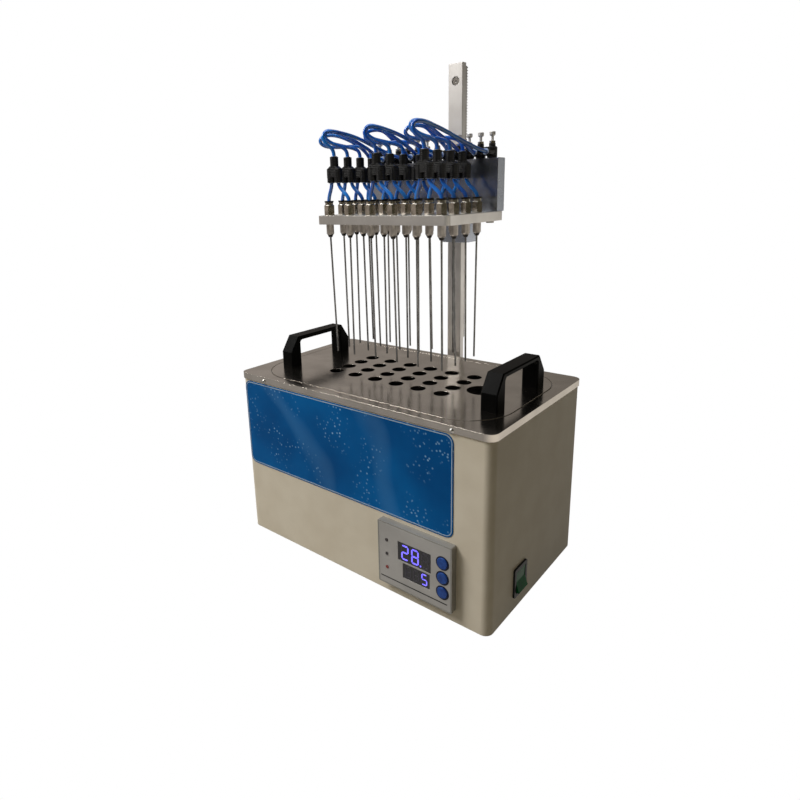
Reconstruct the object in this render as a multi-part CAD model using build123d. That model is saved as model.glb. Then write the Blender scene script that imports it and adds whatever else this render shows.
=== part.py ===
from build123d import *
import math
import os

# Nitrogen evaporator: a water bath with a perforated lid, and above it a needle head that a rack and pinion
# raises and lowers on a column. Millimetres, X to the right, Y to the back, Z up, the floor at Z = 0.
# While it is modelled the bath's middle is at X = Y = 0. The last section moves every piece together, so that
# the origin is the middle of the bottom of the whole object's box.

# Sheet metal, fits and gaps
SHEET = 1.2
CASE_WALL = 1.5
JOIN_GAP = 0.1
RUN_GAP = 0.3
SHAFT_GAP = 0.05
HOLE_GAP = 0.15

# Water bath case
BATH_W = 340.0
BATH_D = 201.0
BATH_H = 205.0
TOP_R = 10.0
FLANGE_DROP = 7.0
FOOT_H = 6.0
FOOT_R = 11.0
FOOT_INSET = 28.0
BASE_LIP = 12.0
VENT_COUNT = 7
VENT_PITCH = 12.0
VENT_L = 44.0
VENT_W = 4.0
VENT_X = 75.0

# Lid and the rack that hangs from it
LID_W = 313.0
LID_D = 178.0
LID_R = 50.0
SEAM = 1.2
GRID_X = -1.2
GRID_Y = 2.0
COLUMNS = 6
ROWS = 4
PITCH_X = 29.5
PITCH_Y = 22.5
TUBE_HOLE_D = 16.5
PORT_HOLE_D = 30.0
PORT_HOLE_X = 101.0
SHELF_DROP = 93.0
SHELF_W = 250.0
SHELF_D = 140.0
SHELF_R = 20.0
DRAIN_D = 6.0
ROD_R = 2.5
ROD_X = 118.0
ROD_Y = 60.0
LID_LIFT = 115.0

# Handles
HANDLE_X = 138.0
HANDLE_T = 18.0
HANDLE_L = 104.0
HANDLE_H = 36.0
SHOULDER_H = 18.0
SHOULDER_IN = 12.4
WINDOW_L = 72.0
WINDOW_H = 31.0
HANDLE_SCREW_Y = 44.0

# Tank, heater and probe
LEDGE = 9.0
TANK_LAP = 7.0
TANK_DEPTH = 113.0
TANK_EDGE_R = 8.0
HEATER_R = 4.0
HEATER_RISE = 12.0
HEATER_X = 70.0
HEATER_Y = 45.0
HEATER_BEND = 25.0
TAIL = 12.0
GLAND_R = 8.0
GLAND_T = 4.0
PROBE_R = 2.5
PROBE_L = 50.0
PROBE_RISE = 9.0
PROBE_Y = -20.0

# Front label, controller and switch
LABEL_X0 = -162.5
LABEL_X1 = 129.5
LABEL_LOW = 90.0
LABEL_HIGH = 196.0
LABEL_R = 9.0
LABEL_T = 0.5
PANEL_X = 88.7
PANEL_Z = 50.0
PANEL_W = 89.0
PANEL_H = 71.5
PANEL_T = 8.0
PANEL_R = 1.5
HOUSING_L = 50.0
FACE_RIM = 1.6
FACE_T = 1.5
DISPLAY_HIGH = (25.5, 65.3, 34.7, 55.7)
DISPLAY_LOW = (31.4, 64.0, 16.1, 33.0)
BUTTON_X = 78.6
BUTTON_R = 5.9
BUTTON_PITCH = 16.1
BUTTON_LOW_Z = 19.8
BUTTON_PROUD = 1.2
BUTTON_T = 3.5
BUTTON_TRAVEL = 0.8
LAMP_X = 11.4
LAMP_LOW_Z = 20.2
LAMP_PITCH = 15.7
LAMP_R = 1.7
LAMP_PROUD = 0.5
SWITCH_Y = -37.5
SWITCH_Z = 30.5
SWITCH_W = 27.0
SWITCH_H = 32.0
SWITCH_LIP = 2.0
SWITCH_BODY = 20.0
ROCKER_W = 19.0
ROCKER_H = 23.0
ROCKER_R = 12.0
ROCKER_TILT = 9.0
ROCKER_ANGLE = 11.0
ROCKER_DIP = 2.4
INLET_X = 110.0
INLET_Z = 44.0
INLET_W = 50.0
INLET_H = 27.0
INLET_HOLE_W = 24.0
INLET_HOLE_H = 16.5

# Column, rack and bracket
BRACKET_W = 44.0
BRACKET_T = 10.0
BRACKET_LOW = 40.0
BRACKET_HIGH = 196.0
COLUMN_W = 19.0
COLUMN_T = 8.0
COLUMN_LOW = 25.0
COLUMN_HIGH = 555.0
RACK_W = 15.0
RACK_T = 7.0
RACK_LOW = 232.0
RACK_HIGH = 552.5
MODULE = 1.0
PRESSURE = math.radians(20)
BACKLASH = 0.16
CAP_HEAD_R = 4.25
CAP_SHANK_R = 2.5
COLUMN_HOLE_DROP = 19.0
COLUMN_BORE_R = 4.9
COLUMN_BORE_T = 5.4

# Carriage, pinion and knob
LIFT_DOWN = 110.0
LIFT_UP = 98.0
CARRIAGE_W = 36.0
CARRIAGE_D = 25.0
CARRIAGE_FRONT = 3.0
CARRIAGE_LOW = 353.0
CARRIAGE_H = 94.0
PINION_TEETH = 18
PINION_RISE = 62.0
PINION_W = 14.0
SHAFT_R = 4.0
BOSS_HALF = 17.0
BOSS_WALL = 6.0
KNOB_R = 19.0
KNOB_T = 18.0
KNOB_GAP = 8.0
KNOB_FLUTES = 12

# Needle head
PLATE_LOW = 382.0
PLATE_T = 9.5
PLATE_W = 172.0
PLATE_R = 5.0
PLATE_FRONT = 9.0
PLATE_BACK = 33.0
MANIFOLD_T = 15.0
MANIFOLD_H = 54.5
MANIFOLD_CUT = 4.0
ARM_W = 36.0
ARM_LOW = 392.0
ARM_HIGH = 436.0
HEX = 10.0
HEX_H = 11.5
NECK_R = 4.4
NECK_H = 2.6
STUB_R = 3.9
COLLAR_R = 5.0
COLLAR_H = 1.6
HUB_R = 4.2
HUB_H = 11.5
TIP_R = 2.0
TIP_H = 2.8
NEEDLE_R = 1.0
NEEDLE_END = 235.7
NEEDLE_SOCKET = 4.0
NEEDLE_GAP = 0.35

# Valves along the top of the manifold
VALVES = 12
VALVE_PITCH = 13.6
VALVE_R = 5.3
VALVE_H = 11.5
VALVE_NECK_R = 3.4
VALVE_NECK_H = 3.2
VALVE_PORT_R = 4.6
VALVE_PORT_L = 13.0
VALVE_PORT_RISE = 6.2
VALVE_NUT_R = 3.2
VALVE_NUT_H = 2.4
STEM_R = 1.4
STEM_H = 5.0
VALVE_KNOB_R = 3.1
VALVE_KNOB_H = 4.2
VALVE_TURN = 150.0

# Branch connectors and gas tubes
Y_LOW = 426.5
Y_BRANCH_H = 13.0
Y_WAIST_H = 4.0
Y_PORT_H = 9.5
Y_PORT_R = 4.5
Y_HALF = 5.1
Y_WEB = 3.9
RING_R = 3.3
RING_H = 0.7
TUBE_R = 2.0
GAS_INLET_X = -70.0
GAS_HOSE_R = 4.0
GAS_INLET_L = 22.0

# Levels and faces that follow from the sizes above
base_z = FOOT_H
top_z = FOOT_H + BATH_H
case_w = BATH_W - 2 * (SHEET + JOIN_GAP)
case_d = BATH_D - 2 * (SHEET + JOIN_GAP)
case_r = TOP_R - SHEET - JOIN_GAP
case_top = top_z - SHEET
ledge_z = top_z - SHEET
tank_w = LID_W - 2 * LEDGE
tank_d = LID_D - 2 * LEDGE
tank_r = LID_R - LEDGE
floor_z = ledge_z - TANK_DEPTH
lid_z = ledge_z + HOLE_GAP
lid_top = lid_z + SHEET
front_y = -case_d / 2
back_y = case_d / 2
right_x = case_w / 2
column_y = back_y + BRACKET_T
rack_y = column_y + COLUMN_T
pitch_y = rack_y + RACK_T - MODULE
pinion_r = MODULE * PINION_TEETH / 2
pinion_y = pitch_y + pinion_r
pinion_z = CARRIAGE_LOW + PINION_RISE
carriage_y = column_y - CARRIAGE_FRONT
plate_top = PLATE_LOW + PLATE_T
plate_y0 = GRID_Y - PITCH_Y * (ROWS - 1) / 2 - PLATE_FRONT
plate_y1 = GRID_Y + PITCH_Y * (ROWS - 1) / 2 + PLATE_BACK
manifold_y0 = plate_y1 - MANIFOLD_T
manifold_top = plate_top + MANIFOLD_H
valve_y = plate_y1 - MANIFOLD_T / 2
collar_z = plate_top + HEX_H + NECK_H
collar_top = collar_z + COLLAR_H
hub_low = PLATE_LOW - HUB_H - TIP_H
y_top = Y_LOW + Y_BRANCH_H + Y_WAIST_H + Y_PORT_H
port_z = manifold_top + VALVE_PORT_RISE

nodes = {}


def keep(name, *shapes):
    """Stores the solids of one named piece, or of one group of like pieces."""
    nodes[name] = [solid for shape in shapes for solid in shape.solids()]


def slab(width, depth, radius, low, high, x=0.0, y=0.0):
    """A flat plate or block with rounded upright corners."""
    return Pos(x, y, low) * extrude(RectangleRounded(width, depth, radius), high - low)


def block(x0, x1, y0, y1, z0, z1):
    """A square-edged block between two opposite corners."""
    centre = Pos((x0 + x1) / 2, (y0 + y1) / 2, (z0 + z1) / 2)
    return centre * Box(x1 - x0, y1 - y0, z1 - z0)


def upright(radius, low, high, x, y):
    """A round bar or bore along Z."""
    return Pos(x, y, (low + high) / 2) * Cylinder(radius, high - low)


def along_x(radius, x0, x1, y, z):
    """A round bar or bore along X."""
    return Pos((x0 + x1) / 2, y, z) * Rot(0, 90, 0) * Cylinder(radius, x1 - x0)


def along_y(radius, y0, y1, x, z):
    """A round bar or bore along Y."""
    return Pos(x, (y0 + y1) / 2, z) * Rot(90, 0, 0) * Cylinder(radius, y1 - y0)


def turned(points, x, y):
    """A body turned about an upright axis, from its half outline as (radius, height) pairs."""
    outline = Plane.XZ * make_face(Polyline(*points, close=True))
    return Pos(x, y, 0) * revolve(outline, Axis.Z)


def grid_points():
    """The 24 tube positions, row by row from the front."""
    for row in range(ROWS):
        for column in range(COLUMNS):
            x = GRID_X + (column - (COLUMNS - 1) / 2) * PITCH_X
            y = GRID_Y + (row - (ROWS - 1) / 2) * PITCH_Y
            yield column, row, x, y


# Flange screws: two on the front flange and two on the back one
FLANGE_SCREW_X = 127.5
FLANGE_SCREW_R = 1.5
DOME_R = 2.8
DOME_H = 1.8
flange_screw_z = top_z - 5.0
flange_spots = [(x, side) for x in (-FLANGE_SCREW_X, FLANGE_SCREW_X) for side in (-1, 1)]


def flange_hole(x, side):
    face = side * BATH_D / 2
    inner = side * (case_d / 2 - CASE_WALL - 1)
    return along_y(FLANGE_SCREW_R + HOLE_GAP, min(face, inner) - 1, max(face, inner) + 1, x, flange_screw_z)


def flange_screw(x, side):
    shank = Cylinder(FLANGE_SCREW_R, DOME_H + SHEET + CASE_WALL + 1)
    shank = Pos(0, 0, -(SHEET + CASE_WALL + 1) / 2 + DOME_H / 2) * shank
    sphere_r = (DOME_R ** 2 + DOME_H ** 2) / (2 * DOME_H)
    dome = Pos(0, 0, DOME_H - sphere_r) * Sphere(sphere_r)
    dome = dome & (Pos(0, 0, DOME_H / 2) * Cylinder(DOME_R, DOME_H))
    return Pos(x, side * BATH_D / 2, flange_screw_z) * Rot(-90 * side, 0, 0) * (shank + dome)


# Bracket screws into the back of the case
BRACKET_SCREW_X = 16.5
BRACKET_SCREW_IN = 18.0
bracket_spots = [(x, z) for x in (-BRACKET_SCREW_X, BRACKET_SCREW_X)
                 for z in (BRACKET_LOW + BRACKET_SCREW_IN, BRACKET_HIGH - BRACKET_SCREW_IN)]
CAP_HEAD_H = 4.6


def cap_screw(head_r, head_h, shank_r, shank_l):
    """A socket cap screw: the head stands on the plane Z = 0 and the shank runs down from it."""
    head = Pos(0, 0, head_h / 2) * Cylinder(head_r, head_h)
    shank = Pos(0, 0, -shank_l / 2) * Cylinder(shank_r, shank_l)
    socket = Pos(0, 0, head_h * 0.75) * extrude(RegularPolygon(shank_r * 0.6, 6), head_h * 0.3)
    return head + shank - socket


def housing_window():
    """The opening that the controller's housing passes through."""
    half_w = PANEL_W / 2 - 3
    half_h = PANEL_H / 2 - 3
    z = base_z + PANEL_Z
    return block(PANEL_X - half_w, PANEL_X + half_w, front_y - 5, front_y + 5, z - half_h, z + half_h)


def switch_window():
    half_w = SWITCH_W / 2 - 1.5
    half_h = SWITCH_H / 2 - 1.5
    z = base_z + SWITCH_Z
    return block(right_x - 5, right_x + 5, SWITCH_Y - half_w, SWITCH_Y + half_w, z - half_h, z + half_h)


def inlet_window():
    half_w = INLET_W / 2 - 10
    half_h = INLET_H / 2 - 2.5
    z = base_z + INLET_Z
    return block(INLET_X - half_w, INLET_X + half_w, back_y - 5, back_y + 5, z - half_h, z + half_h)


# Outer case: a wrapped steel box, open at the top and at the bottom
case = slab(case_w, case_d, case_r, base_z, case_top)
case -= slab(case_w - 2 * CASE_WALL, case_d - 2 * CASE_WALL, case_r - CASE_WALL, base_z - 1, case_top + 1)
case -= housing_window()
case -= switch_window()
case -= inlet_window()
for spot in flange_spots:
    case -= flange_hole(*spot)
for x, z in bracket_spots:
    case -= along_y(CAP_SHANK_R + HOLE_GAP, back_y - CASE_WALL - 1, back_y + 1, x, z)
keep("outer_case", case)

# Base tray with vent slots and the holes that the feet snap into
FOOT_NECK_R = 4.0
tray_w = case_w - 2 * (CASE_WALL + JOIN_GAP)
tray_d = case_d - 2 * (CASE_WALL + JOIN_GAP)
tray_r = case_r - CASE_WALL - JOIN_GAP
foot_spots = [(sx * (BATH_W / 2 - FOOT_INSET), sy * (BATH_D / 2 - FOOT_INSET)) for sx in (-1, 1) for sy in (-1, 1)]
tray = slab(tray_w, tray_d, tray_r, base_z, base_z + BASE_LIP)
tray -= slab(tray_w - 2 * CASE_WALL, tray_d - 2 * CASE_WALL, tray_r - CASE_WALL, base_z + CASE_WALL, base_z + BASE_LIP + 1)
for x in (-VENT_X, VENT_X):
    for i in range(VENT_COUNT):
        offset = (i - (VENT_COUNT - 1) / 2) * VENT_PITCH
        tray -= slab(VENT_W, VENT_L, VENT_W / 2 - 0.01, base_z - 1, base_z + CASE_WALL + 1, x + offset, 0)
for x, y in foot_spots:
    tray -= upright(FOOT_NECK_R + HOLE_GAP, base_z - 1, base_z + CASE_WALL + 1, x, y)
keep("base_tray", tray)

# Rubber feet: a tapered pad, a neck through the tray and a snap head inside
foot_outline = [(0, 0), (FOOT_R - 1.5, 0), (FOOT_R, base_z), (FOOT_NECK_R, base_z),
                (FOOT_NECK_R, base_z + CASE_WALL), (FOOT_NECK_R + 2, base_z + CASE_WALL),
                (FOOT_NECK_R, base_z + CASE_WALL + 3), (0, base_z + CASE_WALL + 3)]
keep("feet", *[turned(foot_outline, x, y) for x, y in foot_spots])

# Polished top plate with a down-turned flange all round
top = slab(BATH_W, BATH_D, TOP_R, top_z - FLANGE_DROP, top_z)
top -= slab(BATH_W - 2 * SHEET, BATH_D - 2 * SHEET, TOP_R - SHEET, top_z - FLANGE_DROP - 1, top_z - SHEET)
top -= slab(LID_W + 2 * SEAM, LID_D + 2 * SEAM, LID_R + SEAM, top_z - SHEET - 1, top_z + 1)
for spot in flange_spots:
    top -= flange_hole(*spot)
keep("top_plate", top)
keep("flange_screws", *[flange_screw(*spot) for spot in flange_spots])

# Drawn tank: a flange under the top plate, a ledge that carries the lid, walls and a floor
flange_w = LID_W + 2 * (SEAM + TANK_LAP)
flange_d = LID_D + 2 * (SEAM + TANK_LAP)
shell = slab(tank_w, tank_d, tank_r, floor_z, ledge_z)
shell = fillet(shell.faces().sort_by(Axis.Z)[0].edges(), TANK_EDGE_R)
hollow = slab(tank_w - 2 * SHEET, tank_d - 2 * SHEET, tank_r - SHEET, floor_z + SHEET, ledge_z + 1)
hollow = fillet(hollow.faces().sort_by(Axis.Z)[0].edges(), TANK_EDGE_R - SHEET)
tank = shell + slab(flange_w, flange_d, LID_R + SEAM + TANK_LAP, ledge_z - SHEET, ledge_z) - hollow
heater_z = floor_z + HEATER_RISE
probe_z = floor_z + PROBE_RISE
for x in (-HEATER_X, HEATER_X):
    tank -= along_y(HEATER_R + HOLE_GAP, tank_d / 2 - 5, tank_d / 2 + 5, x, heater_z)
tank -= along_x(PROBE_R + HOLE_GAP, tank_w / 2 - 5, tank_w / 2 + 5, PROBE_Y, probe_z)
keep("inner_tank", tank)

# Heater: one tube bent into a U above the tank's floor, its ends sealed in the back wall
heater_end = tank_d / 2 + TAIL
heater_line = FilletPolyline((-HEATER_X, heater_end, heater_z), (-HEATER_X, -HEATER_Y, heater_z),
                             (HEATER_X, -HEATER_Y, heater_z), (HEATER_X, heater_end, heater_z), radius=HEATER_BEND)
keep("heater", sweep(Plane(heater_line @ 0, z_dir=heater_line % 0) * Circle(HEATER_R), heater_line))
probe_end = tank_w / 2 + TAIL
keep("temperature_probe", along_x(PROBE_R, probe_end - PROBE_L - TAIL, probe_end, PROBE_Y, probe_z))
glands = []
for x in (-HEATER_X, HEATER_X):
    gland = Pos(x, tank_d / 2 + GLAND_T / 2, heater_z) * Rot(90, 0, 0) * extrude(RegularPolygon(GLAND_R, 6), GLAND_T / 2, both=True)
    glands.append(gland - along_y(HEATER_R + HOLE_GAP, tank_d / 2 - 1, tank_d / 2 + GLAND_T + 1, x, heater_z))
gland = Pos(tank_w / 2 + GLAND_T / 2, PROBE_Y, probe_z) * Rot(0, 90, 0) * extrude(RegularPolygon(GLAND_R * 0.75, 6), GLAND_T / 2, both=True)
glands.append(gland - along_x(PROBE_R + HOLE_GAP, tank_w / 2 - 1, tank_w / 2 + GLAND_T + 1, PROBE_Y, probe_z))
keep("tank_glands", *glands)

# Lid: a flat plate with 24 tube holes and one wider port
lid = slab(LID_W, LID_D, LID_R, lid_z, lid_top)
holes = [upright(TUBE_HOLE_D / 2, lid_z - 1, lid_top + 1, x, y) for _, _, x, y in grid_points()]
holes.append(upright(PORT_HOLE_D / 2, lid_z - 1, lid_top + 1, PORT_HOLE_X, 0))
handle_screw_r = 2.0
handle_spots = [(sx * HANDLE_X, sy * HANDLE_SCREW_Y) for sx in (-1, 1) for sy in (-1, 1)]
for x, y in handle_spots:
    holes.append(upright(handle_screw_r + HOLE_GAP, lid_z - 1, lid_top + 1, x, y))
lid -= holes
keep("lid_plate", lid)

# Lid handles: bridge shape with sloping shoulders and a finger window
HANDLE_EDGE = 1.2
handle_half = HANDLE_L / 2
window_half = WINDOW_L / 2
bridge = Polyline((-handle_half, 0), (-handle_half, SHOULDER_H), (-handle_half + SHOULDER_IN, HANDLE_H),
                  (handle_half - SHOULDER_IN, HANDLE_H), (handle_half, SHOULDER_H), (handle_half, 0),
                  (window_half, 0), (window_half, WINDOW_H), (-window_half, WINDOW_H), (-window_half, 0), close=True)
bridge_face = Plane.YZ * make_face(bridge)
bridge_solid = extrude(bridge_face, HANDLE_T / 2, both=True)
inner_corners = bridge_solid.edges().filter_by(Axis.X).filter_by(
    lambda e: abs(abs(e.center().Y) - window_half) < 0.01 and abs(e.center().Z - WINDOW_H) < 0.01)
bridge_solid = fillet(inner_corners, 4.0)
outer_edges = bridge_solid.edges().filter_by(lambda e: e.center().Z > 0.5 and abs(abs(e.center().X) - HANDLE_T / 2) < 0.01)
bridge_solid = chamfer(outer_edges, HANDLE_EDGE)
handles = []
SCREW_REACH = 14.0
for sx in (-1, 1):
    piece = Pos(sx * HANDLE_X, 0, lid_top) * bridge_solid
    for sy in (-1, 1):
        piece -= upright(handle_screw_r + HOLE_GAP, lid_top - 1, lid_top + SCREW_REACH + 1, sx * HANDLE_X, sy * HANDLE_SCREW_Y)
    handles.append(piece)
keep("lid_handles", *handles)
pan_screw = [(0, -2.2), (3.2, -2.2), (4.2, -1.2), (4.2, 0), (handle_screw_r, 0), (handle_screw_r, SCREW_REACH), (0, SCREW_REACH)]
pan_screw = [(r, z + lid_z) for r, z in pan_screw]
keep("handle_screws", *[turned(pan_screw, x, y) for x, y in handle_spots])

# Shelf that the tubes stand on, hung from the lid by four rods
shelf_top = lid_z - SHELF_DROP
shelf_low = shelf_top - SHEET
rod_spots = [(sx * ROD_X, sy * ROD_Y) for sx in (-1, 1) for sy in (-1, 1)]
shelf = slab(SHELF_W, SHELF_D, SHELF_R, shelf_low, shelf_top)
for column in range(COLUMNS - 1):
    for row in range(ROWS - 1):
        x = GRID_X + (column + 1 - (COLUMNS - 1) / 2 - 0.5) * PITCH_X
        y = GRID_Y + (row + 1 - (ROWS - 1) / 2 - 0.5) * PITCH_Y
        shelf -= upright(DRAIN_D / 2, shelf_low - 1, shelf_top + 1, x, y)
keep("tube_shelf", shelf)
keep("shelf_rods", *[upright(ROD_R, shelf_top, lid_z, x, y) for x, y in rod_spots])

# Front label: a thin plate with rounded corners
label_w = LABEL_X1 - LABEL_X0
label_h = LABEL_HIGH - LABEL_LOW
label = extrude(Plane.XZ * RectangleRounded(label_w, label_h, LABEL_R), LABEL_T)
keep("front_label", Pos((LABEL_X0 + LABEL_X1) / 2, front_y, base_z + (LABEL_LOW + LABEL_HIGH) / 2) * label)

# Controller: a housing through the front panel, a face plate in its rim, two display windows, lamps, buttons
panel_z = base_z + PANEL_Z
panel_left = PANEL_X - PANEL_W / 2
panel_low = panel_z - PANEL_H / 2
panel_front = front_y - PANEL_T
face_back = panel_front + FACE_T
rim = extrude(Plane.XZ * RectangleRounded(PANEL_W, PANEL_H, PANEL_R), PANEL_T)
housing = Pos(PANEL_X, front_y, panel_z) * rim
half_w = PANEL_W / 2 - 3 - HOLE_GAP
half_h = PANEL_H / 2 - 3 - HOLE_GAP
housing += block(PANEL_X - half_w, PANEL_X + half_w, front_y, front_y + HOUSING_L, panel_z - half_h, panel_z + half_h)
housing -= block(panel_left + FACE_RIM, panel_left + PANEL_W - FACE_RIM, panel_front - 1, face_back,
                 panel_low + FACE_RIM, panel_low + PANEL_H - FACE_RIM)
face = block(panel_left + FACE_RIM + JOIN_GAP, panel_left + PANEL_W - FACE_RIM - JOIN_GAP, panel_front, face_back,
             panel_low + FACE_RIM + JOIN_GAP, panel_low + PANEL_H - FACE_RIM - JOIN_GAP)
windows = []
for x0, x1, z0, z1 in (DISPLAY_HIGH, DISPLAY_LOW):
    pane = (panel_left + x0, panel_left + x1, panel_low + z0, panel_low + z1)
    face -= block(pane[0], pane[1], panel_front - 1, face_back + 1, pane[2], pane[3])
    windows.append(block(pane[0] + JOIN_GAP, pane[1] - JOIN_GAP, panel_front + 0.3, face_back,
                         pane[2] + JOIN_GAP, pane[3] - JOIN_GAP))
lamps = []
for i in range(3):
    x = panel_left + LAMP_X
    z = panel_low + LAMP_LOW_Z + i * LAMP_PITCH
    face -= along_y(LAMP_R + JOIN_GAP, panel_front - 1, face_back + 1, x, z)
    lamp = along_y(LAMP_R, panel_front - LAMP_PROUD, face_back, x, z)
    lamps.append(lamp)
button_back = panel_front - BUTTON_PROUD + BUTTON_T
for i, name in enumerate(("button_down", "button_up", "button_set")):
    x = panel_left + BUTTON_X
    z = panel_low + BUTTON_LOW_Z + i * BUTTON_PITCH
    face -= along_y(BUTTON_R + RUN_GAP, panel_front - 1, face_back + 1, x, z)
    housing -= along_y(BUTTON_R + RUN_GAP, face_back - 1, button_back + BUTTON_TRAVEL + RUN_GAP, x, z)
    button = along_y(BUTTON_R, panel_front - BUTTON_PROUD, button_back, x, z)
    button = fillet(button.edges().sort_by(Axis.Y)[0], 0.8)
    keep(name, button)
keep("controller_housing", housing)
keep("controller_face", face)
keep("display_windows", *windows)
keep("indicator_lamps", *lamps)

# Power switch: a frame with a hollow body, and a rocker that tips about a level pin line
switch_z = base_z + SWITCH_Z
frame_face = Plane.YZ * RectangleRounded(SWITCH_W, SWITCH_H, 2.0)
switch = Pos(right_x, SWITCH_Y, switch_z) * extrude(frame_face, SWITCH_LIP)
body_w = SWITCH_W / 2 - 1.5 - HOLE_GAP
body_h = SWITCH_H / 2 - 1.5 - HOLE_GAP
switch += block(right_x - SWITCH_BODY, right_x, SWITCH_Y - body_w, SWITCH_Y + body_w, switch_z - body_h, switch_z + body_h)
pocket_w = ROCKER_W / 2 + RUN_GAP
rocker_x = right_x - 1.0
pocket = block(rocker_x - 4, right_x + SWITCH_LIP + 1, SWITCH_Y - pocket_w, SWITCH_Y + pocket_w,
               switch_z - ROCKER_R - RUN_GAP, switch_z + ROCKER_R + RUN_GAP)
pocket += along_y(ROCKER_R + RUN_GAP, SWITCH_Y - pocket_w, SWITCH_Y + pocket_w, rocker_x, switch_z)
keep("switch_housing", switch - pocket)
rocker_end = ROCKER_R * 0.93
rocker_out = ROCKER_DIP + rocker_end * math.tan(math.radians(ROCKER_ANGLE))
key = Polyline((-ROCKER_R * 0.8, 0), (0, ROCKER_R * 0.97), (rocker_out, rocker_end), (ROCKER_DIP, 0),
               (rocker_out, -rocker_end), (0, -ROCKER_R * 0.97), close=True)
rocker = extrude(Plane.XZ * make_face(key), ROCKER_W / 2, both=True)
rocker = Rot(0, -ROCKER_TILT, 0) * (rocker & (Rot(90, 0, 0) * Cylinder(ROCKER_R, ROCKER_W + 2)))
keep("switch_rocker", Pos(rocker_x, SWITCH_Y, switch_z) * rocker)

# Mains inlet at the back: a flanged socket with three pins
inlet_z = base_z + INLET_Z
INLET_FLANGE = 2.5
INLET_BODY = 24.0
inlet = Pos(INLET_X, back_y + INLET_FLANGE, inlet_z) * extrude(Plane.XZ * RectangleRounded(INLET_W, INLET_H, 3.0), INLET_FLANGE)
inlet_half_w = INLET_W / 2 - 10 - HOLE_GAP
inlet_half_h = INLET_H / 2 - 2.5 - HOLE_GAP
inlet += block(INLET_X - inlet_half_w, INLET_X + inlet_half_w, back_y - INLET_BODY, back_y,
               inlet_z - inlet_half_h, inlet_z + inlet_half_h)
INLET_DEPTH = 17.0
socket = block(INLET_X - INLET_HOLE_W / 2, INLET_X + INLET_HOLE_W / 2, back_y + INLET_FLANGE - INLET_DEPTH,
               back_y + INLET_FLANGE + 1, inlet_z - INLET_HOLE_H / 2, inlet_z + INLET_HOLE_H / 2)
pins = [block(INLET_X + x - 1, INLET_X + x + 1, back_y + INLET_FLANGE - INLET_DEPTH, back_y - 1,
              inlet_z + z - 2, inlet_z + z + 2) for x, z in ((-7, -2), (7, -2), (0, 3))]
keep("power_inlet", inlet - socket, *pins)

# Bracket, column and rack
bracket = slab(BRACKET_W, BRACKET_T, 1.5, BRACKET_LOW, BRACKET_HIGH, 0, back_y + BRACKET_T / 2)
for x, z in bracket_spots:
    bracket -= along_y(CAP_SHANK_R + HOLE_GAP, back_y - 1, column_y + 1, x, z)
COLUMN_SCREW_Z = (BRACKET_LOW + 40, BRACKET_HIGH - 40)
for z in COLUMN_SCREW_Z:
    bracket -= along_y(CAP_SHANK_R + HOLE_GAP, back_y - 1, column_y + 1, 0, z)
keep("column_bracket", bracket)
hole_z = COLUMN_HIGH - COLUMN_HOLE_DROP
RACK_SCREW_LOW = 395.0
column = slab(COLUMN_W, COLUMN_T, 0.8, COLUMN_LOW, COLUMN_HIGH, 0, column_y + COLUMN_T / 2)
for z in COLUMN_SCREW_Z:
    column -= along_y(CAP_SHANK_R + HOLE_GAP, column_y - 1, rack_y + 1, 0, z)
for z in (hole_z, RACK_SCREW_LOW):
    column -= along_y(CAP_SHANK_R + HOLE_GAP, column_y - 1, rack_y + 1, 0, z)
    column -= along_y(COLUMN_BORE_R, column_y - 1, column_y + COLUMN_BORE_T, 0, z)
keep("column", column)

rack_root = rack_y + RACK_T - 2.25 * MODULE
tooth = math.pi * MODULE
half_tip = tooth / 4 - BACKLASH / 2 - MODULE * math.tan(PRESSURE)
half_root = tooth / 4 - BACKLASH / 2 + 1.25 * MODULE * math.tan(PRESSURE)
TEETH = int((RACK_HIGH - RACK_LOW) / tooth)
profile = [(rack_y, RACK_LOW), (rack_root, RACK_LOW)]
for i in range(TEETH):
    z = RACK_LOW + (i + 0.5) * tooth
    profile += [(rack_root, z - half_root), (rack_y + RACK_T, z - half_tip),
                (rack_y + RACK_T, z + half_tip), (rack_root, z + half_root)]
profile += [(rack_root, RACK_HIGH), (rack_y, RACK_HIGH)]
rack = extrude(Plane.YZ * make_face(Polyline(*profile, close=True)), RACK_W / 2, both=True)
RACK_TAP = 4.0
for z in (hole_z, RACK_SCREW_LOW):
    rack -= along_y(CAP_SHANK_R + HOLE_GAP, rack_y - 1, rack_y + RACK_TAP, 0, z)
keep("rack", rack)
bracket_screw = cap_screw(CAP_HEAD_R, CAP_HEAD_H, CAP_SHANK_R, BRACKET_T + CASE_WALL + 3)
column_screw = cap_screw(CAP_HEAD_R, CAP_HEAD_H, CAP_SHANK_R, COLUMN_T + BRACKET_T - 1)
rack_screw = cap_screw(CAP_HEAD_R, CAP_HEAD_H, CAP_SHANK_R, COLUMN_T - COLUMN_BORE_T + RACK_TAP - 0.5)
screws = [Pos(x, column_y, z) * Rot(-90, 0, 0) * bracket_screw for x, z in bracket_spots]
screws += [Pos(0, rack_y, z) * Rot(-90, 0, 0) * column_screw for z in COLUMN_SCREW_Z]
screws += [Pos(0, column_y + COLUMN_BORE_T, z) * Rot(90, 0, 0) * rack_screw for z in (hole_z, RACK_SCREW_LOW)]
keep("column_screws", *screws)

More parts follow.
